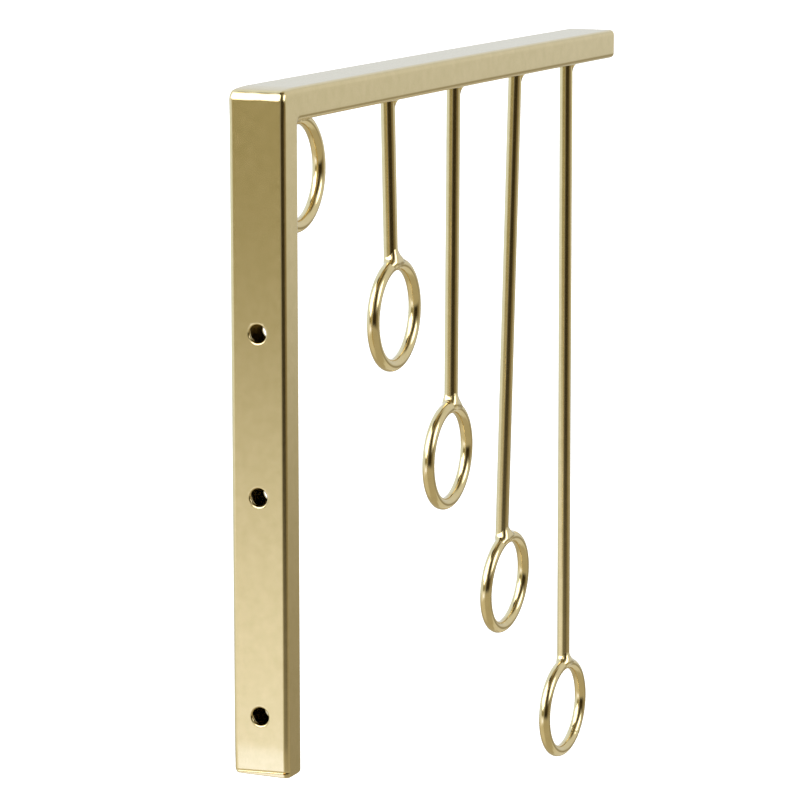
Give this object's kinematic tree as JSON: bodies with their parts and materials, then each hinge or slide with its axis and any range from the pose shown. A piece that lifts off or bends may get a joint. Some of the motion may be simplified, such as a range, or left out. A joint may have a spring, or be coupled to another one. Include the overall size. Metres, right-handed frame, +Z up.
{
  "type": "stepped ring wall bracket",
  "caption": "Welded wall bracket of rectangular brass-finish tube: a post and an arm, with wire rings stepping down on round rods to hold poles.",
  "frame": {"origin": "on the post's wall face, on its centre line, half way up the post's height", "axes": "-Y out of the wall face into the wall, +Y along the arm away from the wall, +Z up, X along the poles and across the tube"},
  "size_m": [0.02, 0.3, 0.29],
  "materials": {
    "satin_brass_tube": "satin brass with fine vertical brush marks and a light mottle, ground flush at the welds",
    "satin_brass_wire": "satin brass, a little brighter than the tube, on drawn rod and wire",
    "satin_brass_weld": "satin brass over fused weld beads"
  },
  "bodies": {
    "root": {"wall_post": "satin_brass_tube", "arm": "satin_brass_tube", "post_end_cap": "satin_brass_tube", "arm_end_cap": "satin_brass_tube", "drop_rod_2": "satin_brass_wire", "drop_rod_3": "satin_brass_wire", "drop_rod_4": "satin_brass_wire", "drop_rod_5": "satin_brass_wire", "ring_1": "satin_brass_wire", "ring_2": "satin_brass_wire", "ring_3": "satin_brass_wire", "ring_4": "satin_brass_wire", "ring_5": "satin_brass_wire", "corner_weld": "satin_brass_weld", "rod_weld_2": "satin_brass_weld", "rod_weld_3": "satin_brass_weld", "rod_weld_4": "satin_brass_weld", "rod_weld_5": "satin_brass_weld", "ring_weld_2": "satin_brass_weld", "ring_weld_3": "satin_brass_weld", "ring_weld_4": "satin_brass_weld", "ring_weld_5": "satin_brass_weld", "ring_1_weld_left": "satin_brass_weld", "ring_1_weld_right": "satin_brass_weld"}
  },
  "joints": []
}
